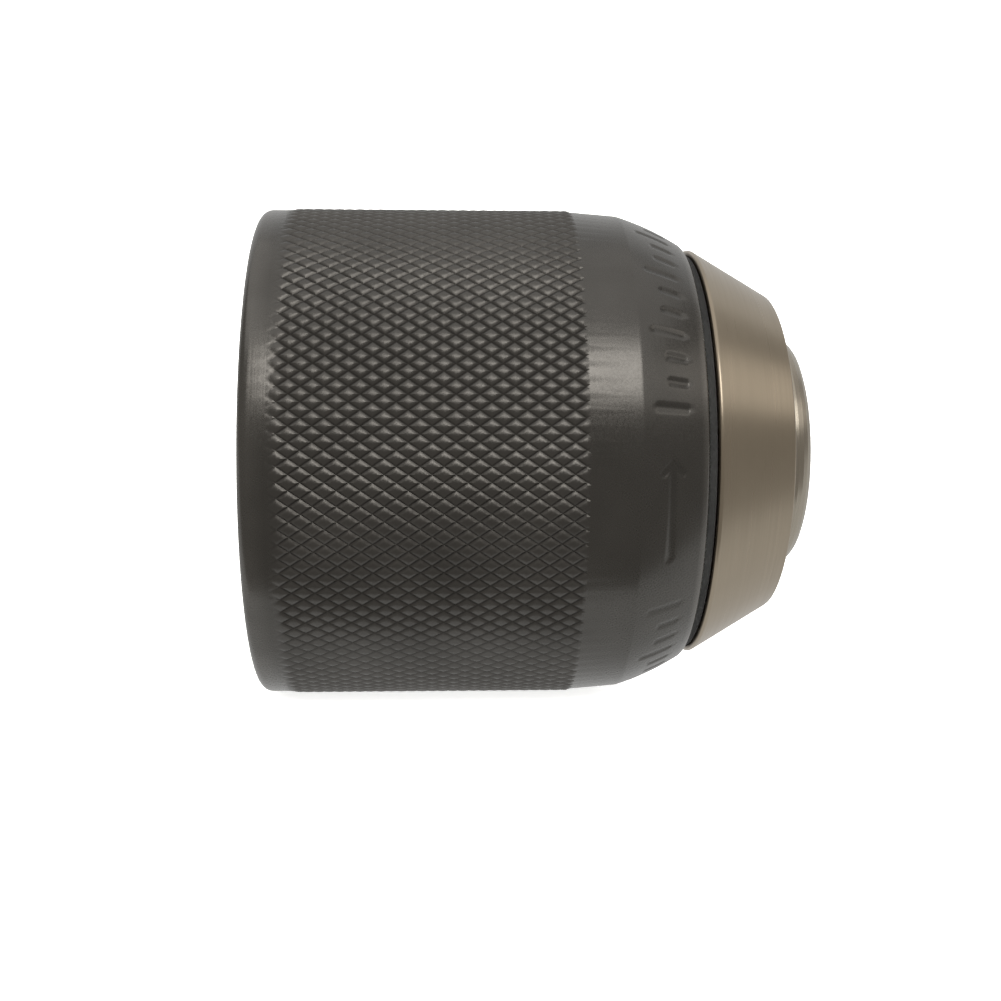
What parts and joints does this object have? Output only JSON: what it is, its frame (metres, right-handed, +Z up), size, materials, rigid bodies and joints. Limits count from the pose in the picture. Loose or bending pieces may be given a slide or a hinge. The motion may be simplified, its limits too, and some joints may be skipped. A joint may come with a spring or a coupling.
{
  "type": "drill chuck",
  "caption": "Keyless drill chuck with a knurled locking sleeve, satin nose ring, oblique jaws, split nut, thrust bearing and ratchet lock.",
  "frame": {"origin": "on the chuck's axis at its rear face, in the mouth of the spindle socket", "axes": "+X along the chuck's axis towards the nose; +Z up, towards jaw 1, with the chuck lying on its side"},
  "size_m": [0.047, 0.043, 0.043],
  "materials": {
    "blackened_steel": "satin black oxide, warm dark grey, knurled",
    "satin_nickel": "fine turned and satin nickel plated, warm champagne grey",
    "turned_steel": "fine turned steel",
    "hardened_steel": "hardened and tempered, dark grey",
    "jaw_steel": "hardened and ground, grey",
    "spring_steel": "blued spring steel",
    "bearing_steel": "polished bearing balls",
    "cage_brass": "stamped brass",
    "black_rubber": "matt black rubber",
    "black_acetal": "moulded black acetal, matt"
  },
  "bodies": {
    "frame": {"chuck_body": "turned_steel", "nose_ring": "satin_nickel", "rear_cover": "black_acetal", "rear_snap_ring": "spring_steel", "front_snap_ring": "spring_steel", "front_seal": "black_rubber", "ratchet_ring": "hardened_steel"},
    "nut": {"nut_half_1": "hardened_steel", "nut_half_2": "hardened_steel", "nut_jacket": "turned_steel", "thrust_washer": "hardened_steel", "lock_spring": "spring_steel"},
    "sleeve": {"knurled_sleeve": "blackened_steel", "drive_liner": "turned_steel", "guide_bush": "black_acetal"},
    "pawl": {"lock_pawl": "spring_steel"},
    "bearing": {"ball_cage": "cage_brass", "bearing_balls": "bearing_steel"},
    "jaw_1": {"jaw_1": "jaw_steel"},
    "jaw_2": {"jaw_2": "jaw_steel"},
    "jaw_3": {"jaw_3": "jaw_steel"}
  },
  "joints": [
    {"name": "nut_turn", "type": "hinge", "parent": "frame", "child": "nut", "pos_m": [0, 0, 0], "axis": [-1, 0, 0], "range_deg": [0, 4155]},
    {"name": "sleeve_lock", "type": "hinge", "parent": "nut", "child": "sleeve", "pos_m": [0, 0, 0], "axis": [-1, 0, 0], "range_deg": [0, 24]},
    {"name": "pawl_flex", "type": "hinge", "parent": "nut", "child": "pawl", "pos_m": [0.0195, 0.00925, 0.01602], "axis": [1, 0, 0], "range_deg": [0, 2.8]},
    {"name": "bearing_turn", "type": "hinge", "parent": "frame", "child": "bearing", "pos_m": [0, 0, 0], "axis": [-1, 0, 0], "range_deg": [0, 2077.5]},
    {"name": "jaw_1_slide", "type": "slide", "parent": "frame", "child": "jaw_1", "axis": [0.9613, 0, -0.2756], "range_m": [0, 0.02193]},
    {"name": "jaw_2_slide", "type": "slide", "parent": "frame", "child": "jaw_2", "axis": [0.9613, 0.2387, 0.1378], "range_m": [0, 0.02193]},
    {"name": "jaw_3_slide", "type": "slide", "parent": "frame", "child": "jaw_3", "axis": [0.9613, -0.2387, 0.1378], "range_m": [0, 0.02193]}
  ],
  "couplings": [
    {"joint": "bearing_turn", "follows": "nut_turn", "ratio": 0.5},
    {"joint": "jaw_1_slide", "follows": "nut_turn", "m_per_rad": 0.00030239},
    {"joint": "jaw_2_slide", "follows": "nut_turn", "m_per_rad": 0.00030239},
    {"joint": "jaw_3_slide", "follows": "nut_turn", "m_per_rad": 0.00030239},
    {"joint": "pawl_flex", "follows": "sleeve_lock", "ratio": 0.11625}
  ]
}
